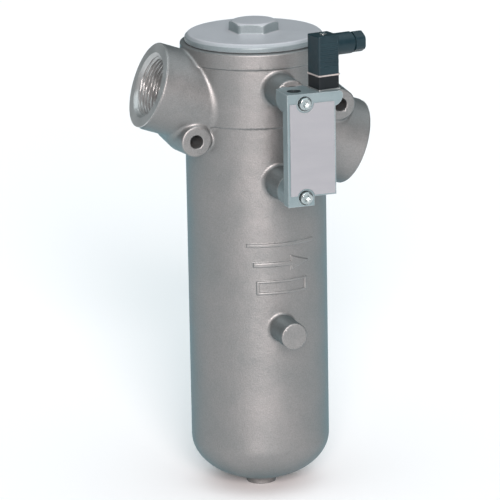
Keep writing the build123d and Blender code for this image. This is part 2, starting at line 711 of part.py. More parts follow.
# Hollow screws: they fasten the block and carry the pressure to it
with BuildPart() as indicator_screws:
    with BuildSketch(front_plane(BLOCK_FRONT + SCREW_RECESS)):
        with Locations(*SCREWS):
            Circle(SCREW_HEAD_R)
    extrude(amount=SCREW_HEAD_HEIGHT)
    chamfer(
        indicator_screws.edges().filter_by(GeomType.CIRCLE).group_by(Axis.Y)[0],
        length=RIM_CHAMFER,
    )
    with BuildSketch(front_plane(BLOCK_FRONT + SCREW_RECESS)):
        with Locations(*SCREWS):
            Circle(SCREW_SHANK_R)
    extrude(amount=BLOCK_FRONT + SCREW_RECESS - SCREW_TIP_Y)
    with BuildSketch(front_plane(SCREW_TIP_Y)):
        with Locations(*SCREWS):
            Circle(SCREW_BORE_R)
    extrude(amount=SCREW_TIP_Y - SCREW_CROSS_HOLE_Y, mode=Mode.SUBTRACT)
    with BuildSketch(Plane.XY.offset(TONGUE_BOTTOM)):
        with Locations((0, SCREW_CROSS_HOLE_Y)):
            Circle(SCREW_BORE_R)
    extrude(amount=BLOCK_TOP - TONGUE_BOTTOM, mode=Mode.SUBTRACT)
    with BuildSketch(front_plane(BLOCK_FRONT + SCREW_RECESS - SCREW_HEAD_HEIGHT)):
        with Locations(*SCREWS):
            RegularPolygon(SCREW_KEY / 2, 6, major_radius=False)
    extrude(amount=-SCREW_KEY_DEPTH, mode=Mode.SUBTRACT)
indicator_screws.part.label = "indicator_screws"
export_step(indicator_screws.part, "parts/indicator_screws.step")

with BuildPart() as indicator_o_rings:
    for x, z in SCREWS:
        with BuildSketch(Plane.YZ):
            with Locations(
                (BOSS_FACE_Y - RING_GROOVE_DEPTH / 2, z + (RING_GROOVE_IN + RING_GROOVE_OUT) / 2)
            ):
                Circle(RING_GROOVE_DEPTH / 2)
        revolve(axis=Axis((x, 0, z), (0, 1, 0)))
indicator_o_rings.part.label = "indicator_o_rings"
export_step(indicator_o_rings.part, "parts/indicator_o_rings.step")

# Piston with its magnet, spring below it and screwed plug at the bottom
with BuildPart() as indicator_piston:
    with BuildSketch(Plane.XY.offset(PISTON_BORE_TOP - PISTON_LENGTH)):
        with Locations((PISTON_X, PISTON_Y)):
            Circle(PISTON_R)
    extrude(amount=PISTON_LENGTH)
    with BuildSketch(Plane.XY.offset(PISTON_BORE_TOP - PISTON_LENGTH)):
        with Locations((PISTON_X, PISTON_Y)):
            Circle(MAGNET_R)
    extrude(amount=MAGNET_LENGTH, mode=Mode.SUBTRACT)
    with BuildSketch(Plane.XY.offset(PISTON_BORE_TOP)):
        with Locations((PISTON_X, PISTON_Y)):
            Circle(PISTON_R)
            Circle(PISTON_R - PISTON_RELIEF, mode=Mode.SUBTRACT)
    extrude(amount=-PISTON_RELIEF, mode=Mode.SUBTRACT)
indicator_piston.part.label = "indicator_piston"
export_step(indicator_piston.part, "parts/indicator_piston.step")

with BuildPart() as indicator_magnet:
    with BuildSketch(Plane.XY.offset(PISTON_BORE_TOP - PISTON_LENGTH)):
        with Locations((PISTON_X, PISTON_Y)):
            Circle(MAGNET_R)
    extrude(amount=MAGNET_LENGTH)
indicator_magnet.part.label = "indicator_magnet"
export_step(indicator_magnet.part, "parts/indicator_magnet.step")

with BuildPart() as indicator_spring:
    with BuildLine(Plane(origin=(PISTON_X, PISTON_Y, END_PLUG_TOP + SPRING_WIRE_R))) as coil:
        Helix(pitch=SPRING_LENGTH / SPRING_TURNS, height=SPRING_LENGTH, radius=SPRING_R)
    with BuildSketch(Plane(origin=coil.line @ 0, z_dir=coil.line % 0)):
        Circle(SPRING_WIRE_R)
    sweep(path=coil.line, is_frenet=True)
indicator_spring.part.label = "indicator_spring"
export_step(indicator_spring.part, "parts/indicator_spring.step")

with BuildPart() as indicator_end_plug:
    with BuildSketch(Plane.XY.offset(BLOCK_BOTTOM)):
        with Locations((PISTON_X, PISTON_Y)):
            Circle(END_PLUG_R)
    extrude(amount=END_PLUG_TOP - BLOCK_BOTTOM)
    with BuildSketch(Plane.XY.offset(END_PLUG_GROOVE_Z)):
        with Locations((PISTON_X, PISTON_Y)):
            Circle(END_PLUG_R)
            Circle(END_PLUG_GROOVE_R, mode=Mode.SUBTRACT)
    extrude(amount=END_PLUG_GROOVE_HEIGHT, mode=Mode.SUBTRACT)
    with BuildSketch(Plane.XY.offset(BLOCK_BOTTOM)):
        with Locations((PISTON_X, PISTON_Y)):
            RegularPolygon(END_PLUG_KEY / 2, 6, major_radius=False)
    extrude(amount=END_PLUG_KEY, mode=Mode.SUBTRACT)
indicator_end_plug.part.label = "indicator_end_plug"
export_step(indicator_end_plug.part, "parts/indicator_end_plug.step")

with BuildPart() as end_plug_o_ring:
    with BuildSketch(Plane(origin=(PISTON_X, PISTON_Y, 0), x_dir=(1, 0, 0), z_dir=(0, -1, 0))):
        with Locations((END_PLUG_RING_R, END_PLUG_GROOVE_Z + END_PLUG_GROOVE_HEIGHT / 2)):
            Circle(END_PLUG_RING_SECTION / 2)
    revolve(axis=Axis((PISTON_X, PISTON_Y, 0), (0, 0, 1)))
end_plug_o_ring.part.label = "end_plug_o_ring"
export_step(end_plug_o_ring.part, "parts/end_plug_o_ring.step")

# Reed switch: glass capsule with a lead at each end
with BuildPart() as reed_switch:
    with BuildSketch(Plane.XY.offset(REED_GLASS_BOTTOM)):
        with Locations((REED_X, CONNECTOR_Y)):
            Circle(REED_R)
    extrude(amount=REED_GLASS_TOP - REED_GLASS_BOTTOM)
    fillet(reed_switch.edges().filter_by(GeomType.CIRCLE), radius=REED_R - REED_LEAD_R)
    with BuildSketch(Plane.XY.offset(REED_LEAD_BOTTOM)):
        with Locations((REED_X, CONNECTOR_Y)):
            Circle(REED_LEAD_R)
    extrude(amount=REED_LEAD_TOP - REED_LEAD_BOTTOM)
reed_switch.part.label = "reed_switch"
export_step(reed_switch.part, "parts/reed_switch.step")

# Connector: flange plate, base with blades, seal and the cable plug above them
with BuildPart() as connector_flange:
    with BuildSketch(connector_plane(BLOCK_TOP)):
        RectangleRounded(FLANGE_SIDE, FLANGE_SIDE, BASE_CORNER)
        Circle(STEM_R, mode=Mode.SUBTRACT)
    extrude(amount=FLANGE_THICKNESS)
connector_flange.part.label = "connector_flange"
export_step(connector_flange.part, "parts/connector_flange.step")

with BuildPart() as connector_base:
    with BuildSketch(connector_plane(BLOCK_TOP + FLANGE_THICKNESS)):
        RectangleRounded(BASE_SIDE, BASE_SIDE, BASE_CORNER)
    extrude(amount=BASE_TOP - BLOCK_TOP - FLANGE_THICKNESS)
    with BuildSketch(connector_plane(BLOCK_TOP - STEM_DEPTH)):
        Circle(STEM_R - STEM_PLAY)
    extrude(amount=STEM_DEPTH + FLANGE_THICKNESS)
    with BuildSketch(connector_plane(BLOCK_TOP - STEM_DEPTH)):
        Circle(LEAD_CAVITY_R)
    extrude(amount=LEAD_CAVITY_TOP - BLOCK_TOP + STEM_DEPTH, mode=Mode.SUBTRACT)
    with BuildSketch(connector_plane(BLADE_BOTTOM)):
        with CONTACTS:
            Rectangle(BLADE_THICKNESS, BLADE_WIDTH)
        Circle(CENTRE_SCREW_R + FIT)
    extrude(amount=BASE_TOP - BLADE_BOTTOM, mode=Mode.SUBTRACT)
connector_base.part.label = "connector_base"
export_step(connector_base.part, "parts/connector_base.step")

with BuildPart() as contact_blades:
    with BuildSketch(connector_plane(BLADE_BOTTOM)):
        with CONTACTS:
            Rectangle(BLADE_THICKNESS, BLADE_WIDTH)
    extrude(amount=BLADE_TOP - BLADE_BOTTOM)
contact_blades.part.label = "contact_blades"
export_step(contact_blades.part, "parts/contact_blades.step")

with BuildPart() as connector_gasket:
    with BuildSketch(connector_plane(BASE_TOP)):
        RectangleRounded(SEAL_SIDE, SEAL_SIDE, BASE_CORNER)
        Rectangle(INSERT_SIDE, INSERT_SIDE, mode=Mode.SUBTRACT)
    extrude(amount=SEAL_THICKNESS)
connector_gasket.part.label = "connector_gasket"
export_step(connector_gasket.part, "parts/connector_gasket.step")

with BuildPart() as plug_housing:
    with BuildSketch(connector_plane(BASE_TOP + SEAL_THICKNESS)):
        RectangleRounded(PLUG_SIDE, PLUG_SIDE, PLUG_CORNER)
    extrude(amount=PLUG_TOP - BASE_TOP - SEAL_THICKNESS)
    fillet(plug_housing.edges().group_by(Axis.Z)[-1], radius=PLUG_EDGE)
    with BuildSketch(gland_plane(0)):
        Circle(GLAND_BARREL_R)
    extrude(amount=GLAND_BARREL_END)
    with BuildSketch(gland_plane(GLAND_BARREL_END)):
        Circle(GLAND_NECK_R)
    extrude(amount=GLAND_NECK_END - GLAND_BARREL_END)
    with BuildSketch(connector_plane(BASE_TOP + SEAL_THICKNESS)):
        Rectangle(PLUG_SIDE - 2 * PLUG_WALL, PLUG_SIDE - 2 * PLUG_WALL)
    extrude(amount=PLUG_TOP - BASE_TOP - SEAL_THICKNESS - PLUG_CEILING, mode=Mode.SUBTRACT)
    with BuildSketch(gland_plane(0)):
        Circle(CABLE_BORE_R)
    extrude(amount=GLAND_NECK_END, mode=Mode.SUBTRACT)
    with BuildSketch(gland_plane(GLAND_SEAT)):
        Circle(GLAND_BORE_R)
    extrude(amount=GLAND_NECK_END - GLAND_SEAT, mode=Mode.SUBTRACT)
    with BuildSketch(connector_plane(PLUG_TOP)):
        Circle(CENTRE_SCREW_R + FIT)
    extrude(amount=-PLUG_CEILING, mode=Mode.SUBTRACT)
    with BuildSketch(connector_plane(CENTRE_SCREW_TOP - CENTRE_SCREW_HEAD)):
        Circle(CENTRE_SCREW_HEAD_R + FIT)
    extrude(amount=CENTRE_SCREW_HEAD, mode=Mode.SUBTRACT)
    for row in range(GROOVE_COUNT):
        with BuildSketch(connector_plane(GROOVE_BOTTOM + row * GROOVE_PITCH)):
            with GridLocations(0, PLUG_SIDE, 1, 2):
                Rectangle(PLUG_SIDE - 2 * PLUG_CORNER, 2 * GROOVE_DEPTH)
        extrude(amount=GROOVE_HEIGHT, mode=Mode.SUBTRACT)
plug_housing.part.label = "plug_housing"
export_step(plug_housing.part, "parts/plug_housing.step")

with BuildPart() as plug_insert:
    with BuildSketch(connector_plane(INSERT_BOTTOM)):
        Rectangle(INSERT_SIDE, INSERT_SIDE)
        Circle(CENTRE_SCREW_R + FIT, mode=Mode.SUBTRACT)
    extrude(amount=INSERT_TOP - INSERT_BOTTOM)
    with BuildSketch(connector_plane(INSERT_BOTTOM)):
        with CONTACTS:
            Rectangle(CLAMP_THICKNESS, CLAMP_WIDTH)
    extrude(amount=CLAMP_TOP - INSERT_BOTTOM, mode=Mode.SUBTRACT)
plug_insert.part.label = "plug_insert"
export_step(plug_insert.part, "parts/plug_insert.step")

with BuildPart() as socket_contacts:
    with BuildSketch(connector_plane(INSERT_BOTTOM)):
        with CONTACTS:
            Rectangle(CLAMP_THICKNESS, CLAMP_WIDTH)
            Rectangle(BLADE_THICKNESS + 2 * FIT, BLADE_WIDTH + 2 * FIT, mode=Mode.SUBTRACT)
    extrude(amount=CLAMP_TOP - INSERT_BOTTOM)
socket_contacts.part.label = "socket_contacts"
export_step(socket_contacts.part, "parts/socket_contacts.step")

with BuildPart() as plug_screw:
    with BuildSketch(connector_plane(CENTRE_SCREW_TIP)):
        Circle(CENTRE_SCREW_R)
    extrude(amount=CENTRE_SCREW_TOP - CENTRE_SCREW_HEAD - CENTRE_SCREW_TIP)
    with BuildSketch(connector_plane(CENTRE_SCREW_TOP - CENTRE_SCREW_HEAD)):
        Circle(CENTRE_SCREW_HEAD_R)
    extrude(amount=CENTRE_SCREW_HEAD)
    with BuildSketch(connector_plane(CENTRE_SCREW_TOP)):
        Rectangle(2 * CENTRE_SCREW_HEAD_R, SCREW_SLOT)
    extrude(amount=-SCREW_SLOT, mode=Mode.SUBTRACT)
plug_screw.part.label = "plug_screw"
export_step(plug_screw.part, "parts/plug_screw.step")

# Cable gland: grommet, washer and nut on the plug's barrel
with BuildPart() as gland_grommet:
    with BuildSketch(gland_plane(GLAND_SEAT)):
        Circle(GROMMET_R)
        Circle(CABLE_BORE_R, mode=Mode.SUBTRACT)
    extrude(amount=GLAND_NECK_END - GLAND_SEAT)
gland_grommet.part.label = "gland_grommet"
export_step(gland_grommet.part, "parts/gland_grommet.step")

with BuildPart() as gland_washer:
    with BuildSketch(gland_plane(GLAND_NECK_END)):
        Circle(WASHER_R)
        Circle(CABLE_BORE_R, mode=Mode.SUBTRACT)
    extrude(amount=WASHER_THICKNESS)
gland_washer.part.label = "gland_washer"
export_step(gland_washer.part, "parts/gland_washer.step")

with BuildPart() as gland_nut:
    with BuildSketch(gland_plane(NUT_START)):
        RegularPolygon(NUT_ACROSS / 2, 6, major_radius=False, rotation=NUT_TURN)
    extrude(amount=NUT_END - NUT_START)
    with BuildSketch(gland_plane(NUT_START)):
        Circle(NUT_CROWN_R)
    extrude(amount=NUT_END - NUT_START, mode=Mode.INTERSECT)
    with BuildSketch(gland_plane(NUT_START)):
        Circle(NUT_BORE_R)
    extrude(amount=NUT_BORE_END - NUT_START, mode=Mode.SUBTRACT)
    with BuildSketch(gland_plane(NUT_START)):
        Circle(NUT_MOUTH_R)
    extrude(amount=NUT_END - NUT_START, mode=Mode.SUBTRACT)
gland_nut.part.label = "gland_nut"
export_step(gland_nut.part, "parts/gland_nut.step")
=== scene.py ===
import json
import math

import bpy
import numpy as np
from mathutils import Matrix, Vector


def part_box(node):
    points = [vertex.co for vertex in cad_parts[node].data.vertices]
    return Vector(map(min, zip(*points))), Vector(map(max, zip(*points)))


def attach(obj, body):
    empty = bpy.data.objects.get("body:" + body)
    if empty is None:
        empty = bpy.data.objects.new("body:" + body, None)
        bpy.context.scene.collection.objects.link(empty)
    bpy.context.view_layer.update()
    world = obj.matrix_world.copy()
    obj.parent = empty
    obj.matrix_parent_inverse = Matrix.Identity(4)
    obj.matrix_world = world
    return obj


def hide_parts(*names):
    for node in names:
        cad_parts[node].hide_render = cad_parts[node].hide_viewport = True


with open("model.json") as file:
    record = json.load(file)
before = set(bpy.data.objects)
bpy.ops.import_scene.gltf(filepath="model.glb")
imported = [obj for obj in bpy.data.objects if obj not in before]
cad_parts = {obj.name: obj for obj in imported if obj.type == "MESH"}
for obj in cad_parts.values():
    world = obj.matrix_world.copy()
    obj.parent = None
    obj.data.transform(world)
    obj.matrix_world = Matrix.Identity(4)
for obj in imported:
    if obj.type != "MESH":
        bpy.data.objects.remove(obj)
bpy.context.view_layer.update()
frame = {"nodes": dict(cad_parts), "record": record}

import openvdb
from mathutils import Matrix, Vector

MM = 0.001
nodes = frame["nodes"]

# ---------------------------------------------------------------- camera, light and floor

TARGET = Vector((-0.00478, 0.00171, 0.1668))
CAMERA_SIDE = Vector((-0.3256, -0.9085, 0.2619)).normalized()
CAMERA_DISTANCE = 2.566
CAMERA_LEAN = math.radians(1.01)
LENS, SENSOR = 267.84, 36.0


def make_camera():
    """The camera stands at the photograph's angle and leans a degree, as the photograph does."""
    data = bpy.data.cameras.new("camera")
    data.lens = LENS
    data.sensor_width = SENSOR
    data.clip_end = 50.0
    camera = bpy.data.objects.new("camera", data)
    bpy.context.scene.collection.objects.link(camera)
    level = Vector((0, 0, 1)).cross(CAMERA_SIDE).normalized()
    upright = CAMERA_SIDE.cross(level)
    right = math.cos(CAMERA_LEAN) * level - math.sin(CAMERA_LEAN) * upright
    up = math.sin(CAMERA_LEAN) * level + math.cos(CAMERA_LEAN) * upright
    turn = Matrix((right, up, CAMERA_SIDE)).transposed().to_4x4()
    camera.matrix_world = Matrix.Translation(TARGET + CAMERA_DISTANCE * CAMERA_SIDE) @ turn
    bpy.context.scene.camera = camera


def make_sun(name, azimuth, elevation, softness, strength, colour):
    """A large soft light far away. Azimuth 0 stands in front, towards -Y, and 90 to the right."""
    data = bpy.data.lights.new(name, "SUN")
    data.energy = strength
    data.angle = math.radians(softness)
    data.color = colour
    light = bpy.data.objects.new(name, data)
    a, e = math.radians(azimuth), math.radians(elevation)
    side = Vector((math.sin(a) * math.cos(e), -math.cos(a) * math.cos(e), math.sin(e)))
    light.rotation_euler = side.to_track_quat("Z", "Y").to_euler()
    light.location = 2.0 * side
    bpy.context.scene.collection.objects.link(light)


def make_floor():
    """A plain pale floor, wide enough to fill every view."""
    half = 14.0
    mesh = bpy.data.meshes.new("studio_floor")
    corners = [(-half, -half, 0), (half, -half, 0), (half, half, 0), (-half, half, 0)]
    mesh.from_pydata(corners, [], [(0, 1, 2, 3)])
    floor = bpy.data.objects.new("studio_floor", mesh)
    bpy.context.scene.collection.objects.link(floor)
    material = bpy.data.materials.new("studio_floor")
    material.use_nodes = True
    shader = material.node_tree.nodes["Principled BSDF"]
    shader.inputs["Base Color"].default_value = (0.91, 0.92, 0.925, 1)
    shader.inputs["Roughness"].default_value = 0.9
    shader.inputs["Specular IOR Level"].default_value = 0.1
    mesh.materials.append(material)


make_camera()
make_sun("key_light", azimuth=-16, elevation=20, softness=26, strength=4.4, colour=(1.0, 0.865, 0.845))
make_sun("top_light", azimuth=10, elevation=82, softness=90, strength=2.1, colour=(0.88, 0.965, 1.0))
make_floor()
world = bpy.data.worlds.new("studio")
world.use_nodes = True
world.node_tree.nodes["Background"].inputs["Color"].default_value = (0.68, 0.95, 1.0, 1)
world.node_tree.nodes["Background"].inputs["Strength"].default_value = 0.12
bpy.context.scene.world = world
bpy.context.scene.view_settings.view_transform = "Standard"

# ---------------------------------------------------------------- materials


class Finish:
    """A procedural material under construction: each call adds a node and returns its output."""

    def __init__(self, name, metallic=0.0):
        self.material = bpy.data.materials.new(name)
        self.material.use_nodes = True
        self.tree = self.material.node_tree
        self.shader = self.tree.nodes["Principled BSDF"]
        self.shader.inputs["Metallic"].default_value = metallic
        self.place = self.node("ShaderNodeTexCoord").outputs["Object"]

    def node(self, kind, **settings):
        """Adds a node and gives it its settings."""
        made = self.tree.nodes.new(kind)
        for key, value in settings.items():
            setattr(made, key, value)
        return made

    def feed(self, socket, value):
        """Links an output to a socket, or sets the socket to a plain number or colour."""
        if isinstance(value, bpy.types.NodeSocket):
            self.tree.links.new(value, socket)
        elif isinstance(value, tuple) and len(value) == 3 and socket.type == "RGBA":
            socket.default_value = (*value, 1)
        else:
            socket.default_value = value

    def stretched(self, x, y, z):
        """The place on the object, scaled along each axis."""
        mapping = self.node("ShaderNodeMapping")
        self.feed(mapping.inputs["Vector"], self.place)
        mapping.inputs["Scale"].default_value = (x, y, z)
        return mapping.outputs["Vector"]

    def noise(self, size, detail=3.0, rough=0.55, place=None):
        """Noise whose patches are about size millimetres across."""
        made = self.node("ShaderNodeTexNoise")
        self.feed(made.inputs["Vector"], place or self.place)
        made.inputs["Scale"].default_value = 1.0 / (size * MM)
        made.inputs["Detail"].default_value = detail
        made.inputs["Roughness"].default_value = rough
        return made.outputs["Fac"]

    def cells(self, size):
        """Distance to the middle of cells about size millimetres across."""
        made = self.node("ShaderNodeTexVoronoi")
        self.feed(made.inputs["Vector"], self.place)
        made.inputs["Scale"].default_value = 1.0 / (size * MM)
        return made.outputs["Distance"]

    def spread(self, value, low, high, to_low=0.0, to_high=1.0):
        """The value stretched from low..high to to_low..to_high, and held there."""
        made = self.node("ShaderNodeMapRange")
        self.feed(made.inputs["Value"], value)
        for key, number in zip(("From Min", "From Max", "To Min", "To Max"), (low, high, to_low, to_high)):
            made.inputs[key].default_value = number
        return made.outputs["Result"]

    def math(self, operation, a, b=0.0):
        made = self.node("ShaderNodeMath", operation=operation)
        self.feed(made.inputs[0], a)
        self.feed(made.inputs[1], b)
        return made.outputs[0]

    def mix(self, share, a, b, blend="MIX"):
        made = self.node("ShaderNodeMix", data_type="RGBA", blend_type=blend)
        self.feed(made.inputs["Factor"], share)
        self.feed(made.inputs["A"], a)
        self.feed(made.inputs["B"], b)
        return made.outputs["Result"]

    def soft_edges(self, radius):
        """The surface's normal with its edges rounded by radius millimetres."""
        bevel = self.node("ShaderNodeBevel", samples=4)
        bevel.inputs["Radius"].default_value = radius * MM
        return bevel.outputs["Normal"]

    def edges(self, radius):
        """1 on edges within radius millimetres, 0 on flat and evenly curved faces."""
        rounded = self.soft_edges(radius)
        dot = self.node("ShaderNodeVectorMath", operation="DOT_PRODUCT")
        self.feed(dot.inputs[0], rounded)
        self.feed(dot.inputs[1], self.node("ShaderNodeNewGeometry").outputs["Normal"])
        return self.spread(dot.outputs["Value"], 1.0, 0.9)

    def bump(self, height, depth, under=None):
        """Relief whose height runs 0 to 1 over depth millimetres."""
        made = self.node("ShaderNodeBump")
        made.inputs["Strength"].default_value = 1.0
        made.inputs["Distance"].default_value = depth * MM
        self.feed(made.inputs["Height"], height)
        if under:
            self.feed(made.inputs["Normal"], under)
        return made.outputs["Normal"]

    def done(self, colour, roughness, normal, **sockets):
        """The finished material; further sockets of the shader are given by name."""
        for key, value in (("Base Color", colour), ("Roughness", roughness), ("Normal", normal)):
            self.feed(self.shader.inputs[key], value)
        for key, value in sockets.items():
            self.feed(self.shader.inputs[key.replace("_", " ")], value)
        return self.material


def dimmed(colour, share):
    return tuple(share * channel for channel in colour)


def grained(name, light, dark, patch, grain, relief, roughness, metallic=0.0, edge=None, edge_radius=0.5,
            grain_share=0.5, place_scale=(1, 1, 1), rounding=0.25, swell=0.0, painted_top_light=None, **sockets):
    """A finish with patches, a fine grain, relief, worn edges and painted light: upward faces lightened as if
    lit from above.

    Lengths are in millimetres: patch and grain are sizes, relief and swell are depths.
    """
    f = Finish(name, metallic=metallic)
    place = f.stretched(*place_scale)
    patches = f.spread(f.noise(patch, 4.0, 0.6, place), 0.35, 0.65)
    fine = f.noise(grain, 2.0, 0.6, place)
    colour = f.mix(patches, dark, light)
    speck = f.spread(fine, 0.3, 0.7, 0.5 - grain_share / 2, 0.5 + grain_share / 2)
    colour = f.mix(1.0, colour, f.mix(speck, (0.72, 0.72, 0.72), (1.0, 1.0, 1.0)), "MULTIPLY")
    # Painted light: faces that turn upward are mixed towards a lighter colour, standing in for the light from
    # above.
    if painted_top_light:
        parts = f.node("ShaderNodeSeparateXYZ")
        f.feed(parts.inputs[0], f.node("ShaderNodeNewGeometry").outputs["Normal"])
        painted_top_light_share = f.spread(parts.outputs["Z"], 0.5, 0.95)
        colour = f.mix(painted_top_light_share, colour, f.mix(speck, dimmed(painted_top_light, 0.85), painted_top_light))
    low, high = roughness
    mottle = f.math("ADD", f.math("MULTIPLY", patches, 0.6), f.math("MULTIPLY", fine, 0.4))
    rough = f.spread(mottle, 0.1, 0.9, low, high)
    if edge:
        exposed = f.edges(edge_radius)
        worn = f.math("MULTIPLY", exposed, f.spread(f.noise(6.0, 4.0, 0.7), 0.35, 0.6, 0.35, 1.0))
        colour = f.mix(worn, colour, edge)
    normal = f.soft_edges(rounding) if rounding else None
    if swell:
        normal = f.bump(f.noise(9.0, 2.0, 0.5), swell, normal)
    normal = f.bump(fine, relief, normal)
    return f.done(colour, rough, normal, **sockets)


def foam_finish():
    """Open foam: pale fibres round small cells whose hollows are darkened with painted shade, with a few
    yellowed patches.
    """
    foam = Finish("foam_sock")
    holes = foam.cells(1.1)
    fibres = foam.noise(0.5, 3.0, 0.7)
    # Painted shade: the hollow middle of each cell is darker than the fibres round it.
    colour = foam.mix(foam.spread(holes, 0.1, 0.6), (0.16, 0.17, 0.175), (0.34, 0.355, 0.36))
    yellowed = foam.spread(foam.noise(26.0, 4.0), 0.35, 0.65, 0.0, 0.45)
    colour = foam.mix(yellowed, colour, (0.27, 0.25, 0.215))
    relief = foam.bump(holes, 0.5, foam.bump(fibres, 0.15))
    return foam.done(colour, foam.spread(fibres, 0.3, 0.7, 0.82, 0.98), relief, Sheen_Weight=0.3)


finishes = {
    "cast_aluminium": grained(
        "cast_aluminium", light=(0.295, 0.295, 0.292), dark=(0.255, 0.262, 0.26),
        patch=34.0, grain=0.75, relief=0.13, roughness=(0.40, 0.54), metallic=0.75,
        edge=(0.40, 0.405, 0.40), edge_radius=0.9, grain_share=0.75,
        swell=0.25, rounding=0, Specular_Tint=(0.3, 0.62, 0.72),
    ),
    "machined": grained(
        "machined_aluminium", light=(0.50, 0.52, 0.52), dark=(0.42, 0.44, 0.44),
        patch=12.0, grain=0.5, relief=0.03, roughness=(0.28, 0.42), metallic=0.75,
        edge=(0.62, 0.63, 0.62), edge_radius=0.4, grain_share=0.4,
        rounding=0,
    ),
    # Painted light: the lid's own colour is the darker teal, and its upward faces are lightened towards a
    # pale grey as if lit from above.
    "lid_metal": grained(
        "lid_metal", light=(0.22, 0.27, 0.285), dark=(0.195, 0.245, 0.26),
        patch=28.0, grain=0.9, relief=0.06, roughness=(0.38, 0.52), metallic=0.3,
        edge=(0.42, 0.45, 0.47), edge_radius=0.8, grain_share=0.45, painted_top_light=(0.48, 0.50, 0.53),
        swell=0.12, rounding=0,
    ),
    "block_metal": grained(
        "block_metal", light=(0.27, 0.345, 0.365), dark=(0.225, 0.30, 0.32),
        patch=18.0, grain=0.5, relief=0.03, roughness=(0.36, 0.5), metallic=0.55,
        edge=(0.50, 0.56, 0.57), grain_share=0.4,
    ),
    # Painted shade: a near-black metal standing in for the shade deep inside the test port.
    "painted_shade_metal": grained(
        "painted_shade_metal", light=(0.035, 0.05, 0.055), dark=(0.02, 0.03, 0.034),
        patch=3.0, grain=0.4, relief=0.02, roughness=(0.3, 0.45), metallic=0.4,
    ),
    "label": grained(
        "label", light=(0.335, 0.35, 0.375), dark=(0.32, 0.335, 0.36),
        patch=22.0, grain=0.35, relief=0.008, roughness=(0.42, 0.52), metallic=0.35,
        edge=(0.60, 0.61, 0.62), edge_radius=0.3, grain_share=0.25,
        place_scale=(1, 1, 6),
    ),
    "zinc_steel": grained(
        "zinc_steel", light=(0.55, 0.60, 0.60), dark=(0.34, 0.42, 0.43),
        patch=3.0, grain=0.4, relief=0.02, roughness=(0.2, 0.36), metallic=0.9,
        edge=(0.75, 0.78, 0.77), edge_radius=0.3, grain_share=0.4,
    ),
    "seal_rubber": grained(
        "seal_rubber", light=(0.032, 0.033, 0.034), dark=(0.02, 0.021, 0.022),
        patch=5.0, grain=0.3, relief=0.02, roughness=(0.5, 0.68),
    ),
    "steel_sheet": grained(
        "steel_sheet", light=(0.52, 0.53, 0.53), dark=(0.40, 0.41, 0.41),
        patch=7.0, grain=0.6, relief=0.02, roughness=(0.28, 0.42), metallic=0.9,
        edge=(0.7, 0.7, 0.69), edge_radius=0.3, grain_share=0.4,
    ),
    "element_cap": grained(
        "element_cap", light=(0.055, 0.06, 0.065), dark=(0.04, 0.044, 0.048),
        patch=14.0, grain=0.5, relief=0.03, roughness=(0.42, 0.56),
        edge=(0.10, 0.105, 0.11), edge_radius=0.4,
    ),
    "pleated_media": grained(
        "pleated_media", light=(0.78, 0.74, 0.64), dark=(0.68, 0.63, 0.53),
        patch=9.0, grain=0.35, relief=0.06, roughness=(0.75, 0.9),
        place_scale=(1, 1, 0.35), rounding=0,
    ),
    "retainer_plastic": grained(
        "retainer_plastic", light=(0.05, 0.055, 0.06), dark=(0.035, 0.04, 0.045),
        patch=12.0, grain=0.4, relief=0.03, roughness=(0.38, 0.52),
        edge=(0.10, 0.105, 0.11), edge_radius=0.4,
    ),
    "piston_metal": grained(
        "piston_metal", light=(0.66, 0.52, 0.26), dark=(0.56, 0.43, 0.2),
        patch=4.0, grain=0.3, relief=0.01, roughness=(0.22, 0.34), metallic=0.95,
        edge=(0.8, 0.68, 0.4), edge_radius=0.2, grain_share=0.3,
    ),
    "magnet": grained(
        "magnet", light=(0.12, 0.12, 0.125), dark=(0.08, 0.08, 0.085),
        patch=2.5, grain=0.25, relief=0.02, roughness=(0.4, 0.55), metallic=0.5,
        edge=(0.22, 0.22, 0.22), edge_radius=0.2,
    ),
    "reed_glass": grained(
        "reed_glass", light=(0.30, 0.42, 0.36), dark=(0.25, 0.37, 0.31),
        patch=6.0, grain=0.4, relief=0.004, roughness=(0.06, 0.14),
        Transmission_Weight=0.6,
    ),
    "connector_plastic": grained(
        "connector_plastic", light=(0.007, 0.026, 0.035), dark=(0.005, 0.02, 0.028),
        patch=9.0, grain=0.4, relief=0.035, roughness=(0.34, 0.48),
        edge=(0.03, 0.07, 0.085), edge_radius=0.35, grain_share=0.6,
        Specular_IOR_Level=0.35,
    ),
    "base_plastic": grained(
        "base_plastic", light=(0.005, 0.008, 0.011), dark=(0.003, 0.006, 0.008),
        patch=9.0, grain=0.4, relief=0.035, roughness=(0.34, 0.48),
        edge=(0.03, 0.05, 0.06), edge_radius=0.35, grain_share=0.6,
        Specular_IOR_Level=0.3,
    ),
    "profile_seal": grained(
        "profile_seal", light=(0.42, 0.39, 0.375), dark=(0.34, 0.32, 0.31),
        patch=4.0, grain=0.3, relief=0.02, roughness=(0.5, 0.65),
    ),
    "contact_brass": grained(
        "contact_brass", light=(0.72, 0.58, 0.30), dark=(0.62, 0.49, 0.24),
        patch=3.0, grain=0.3, relief=0.01, roughness=(0.22, 0.34), metallic=0.95,
        edge=(0.85, 0.74, 0.48), edge_radius=0.2, grain_share=0.3,
    ),
    "foam_sock": foam_finish(),
}
for row in frame["record"]["subparts"]:
    for material_slot in nodes[row["node"]].material_slots:
        material_slot.material = finishes[row["material_slot"]]
# The connector's base is a blacker plastic than its plug
for material_slot in nodes["connector_base"].material_slots:
    material_slot.material = finishes["base_plastic"]

# ---------------------------------------------------------------- mesh makers


def put(name, mesh, material, body, replaced=()):
    """Adds a finished mesh as a piece that rides on a body."""
    thing = bpy.data.objects.new(name, mesh)
    bpy.context.scene.collection.objects.link(thing)
    mesh.materials.append(finishes[material])
    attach(thing, body)
    if replaced:
        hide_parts(*replaced)


